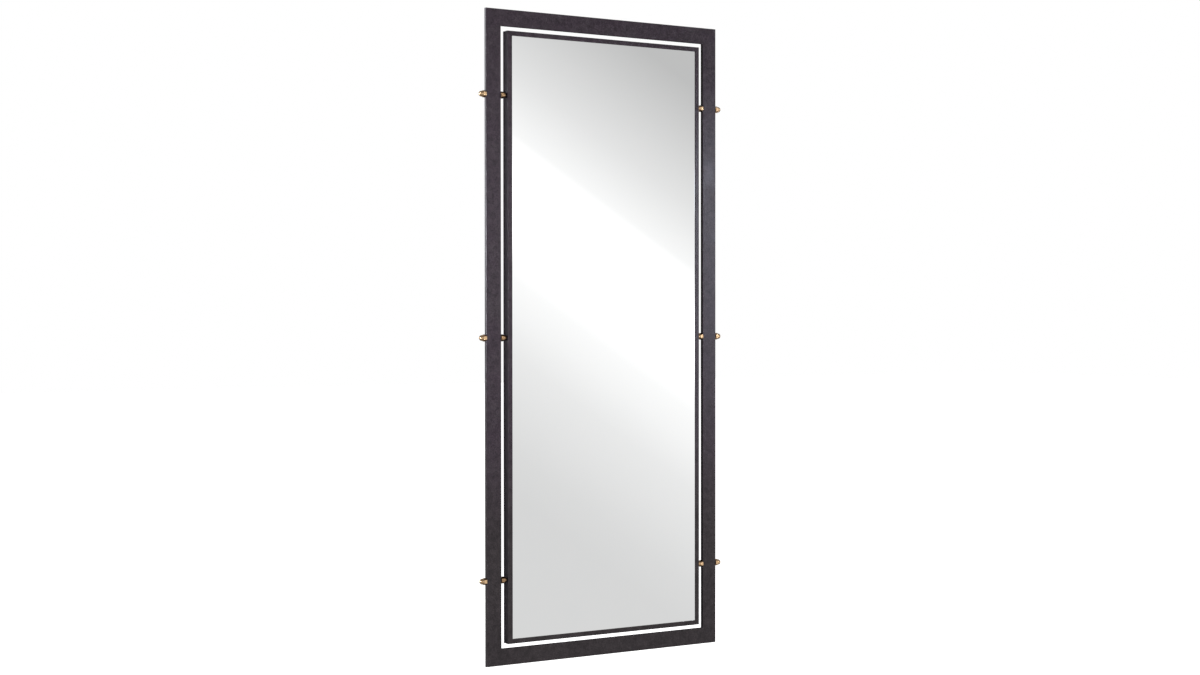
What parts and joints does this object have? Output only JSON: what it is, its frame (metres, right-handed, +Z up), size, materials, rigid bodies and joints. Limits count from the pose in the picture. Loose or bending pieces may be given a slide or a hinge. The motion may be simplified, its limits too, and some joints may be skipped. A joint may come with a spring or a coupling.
{
  "type": "wall mirror",
  "caption": "Full-length rectangular wall mirror: a flat dark steel frame, joined by brass side rods across an open gap to a deeper inner frame that holds the glass.",
  "frame": {"origin": "middle of the wall plane: on the bumpers' wall faces, at half the frame's width and height", "axes": "+X to the right as seen by someone who looks into the mirror, +Y into the wall, +Z up"},
  "size_m": [0.908, 0.0315, 2.032],
  "materials": {
    "dark_steel": "satin, blackened and waxed, faintly mottled",
    "brass": "satin, aged",
    "mirror": "silvered float glass",
    "foam_tape": "matt black foam",
    "felt": "grey felt",
    "fibreboard": "raw fibreboard",
    "rubber": "matt black",
    "zinc_steel": "zinc plated"
  },
  "bodies": {
    "mirror": {"back_board": "fibreboard", "backing_sheet": "felt", "glazing_tape": "foam_tape", "inner_bottom_rail": "dark_steel", "inner_left_stile": "dark_steel", "inner_right_stile": "dark_steel", "inner_top_rail": "dark_steel", "left_bottom_bumper": "rubber", "left_bottom_cap_nut": "brass", "left_bottom_rod_insert": "brass", "left_bottom_spacer": "brass", "left_bottom_tie_rod": "brass", "left_hanger_screw_1": "zinc_steel", "left_hanger_screw_2": "zinc_steel", "left_hanger_screw_3": "zinc_steel", "left_hanger_strap": "zinc_steel", "left_middle_cap_nut": "brass", "left_middle_rod_insert": "brass", "left_middle_spacer": "brass", "left_middle_tie_rod": "brass", "left_setting_block": "rubber", "left_top_bumper": "rubber", "left_top_cap_nut": "brass", "left_top_rod_insert": "brass", "left_top_spacer": "brass", "left_top_tie_rod": "brass", "mirror_glass": "mirror", "outer_bottom_rail": "dark_steel", "outer_left_stile": "dark_steel", "outer_right_stile": "dark_steel", "outer_top_rail": "dark_steel", "right_bottom_bumper": "rubber", "right_bottom_cap_nut": "brass", "right_bottom_rod_insert": "brass", "right_bottom_spacer": "brass", "right_bottom_tie_rod": "brass", "right_hanger_screw_1": "zinc_steel", "right_hanger_screw_2": "zinc_steel", "right_hanger_screw_3": "zinc_steel", "right_hanger_strap": "zinc_steel", "right_middle_cap_nut": "brass", "right_middle_rod_insert": "brass", "right_middle_spacer": "brass", "right_middle_tie_rod": "brass", "right_setting_block": "rubber", "right_top_bumper": "rubber", "right_top_cap_nut": "brass", "right_top_rod_insert": "brass", "right_top_spacer": "brass", "right_top_tie_rod": "brass"},
    "left_ring": {"left_hanger_ring": "zinc_steel"},
    "right_ring": {"right_hanger_ring": "zinc_steel"}
  },
  "joints": [
    {"name": "left_ring_swing", "type": "hinge", "parent": "mirror", "child": "left_ring", "pos_m": [-0.29, -0.0059, 0.686], "axis": [-1, 0, 0], "range_deg": [0, 182]},
    {"name": "right_ring_swing", "type": "hinge", "parent": "mirror", "child": "right_ring", "pos_m": [0.29, -0.0059, 0.686], "axis": [-1, 0, 0], "range_deg": [0, 182]}
  ]
}
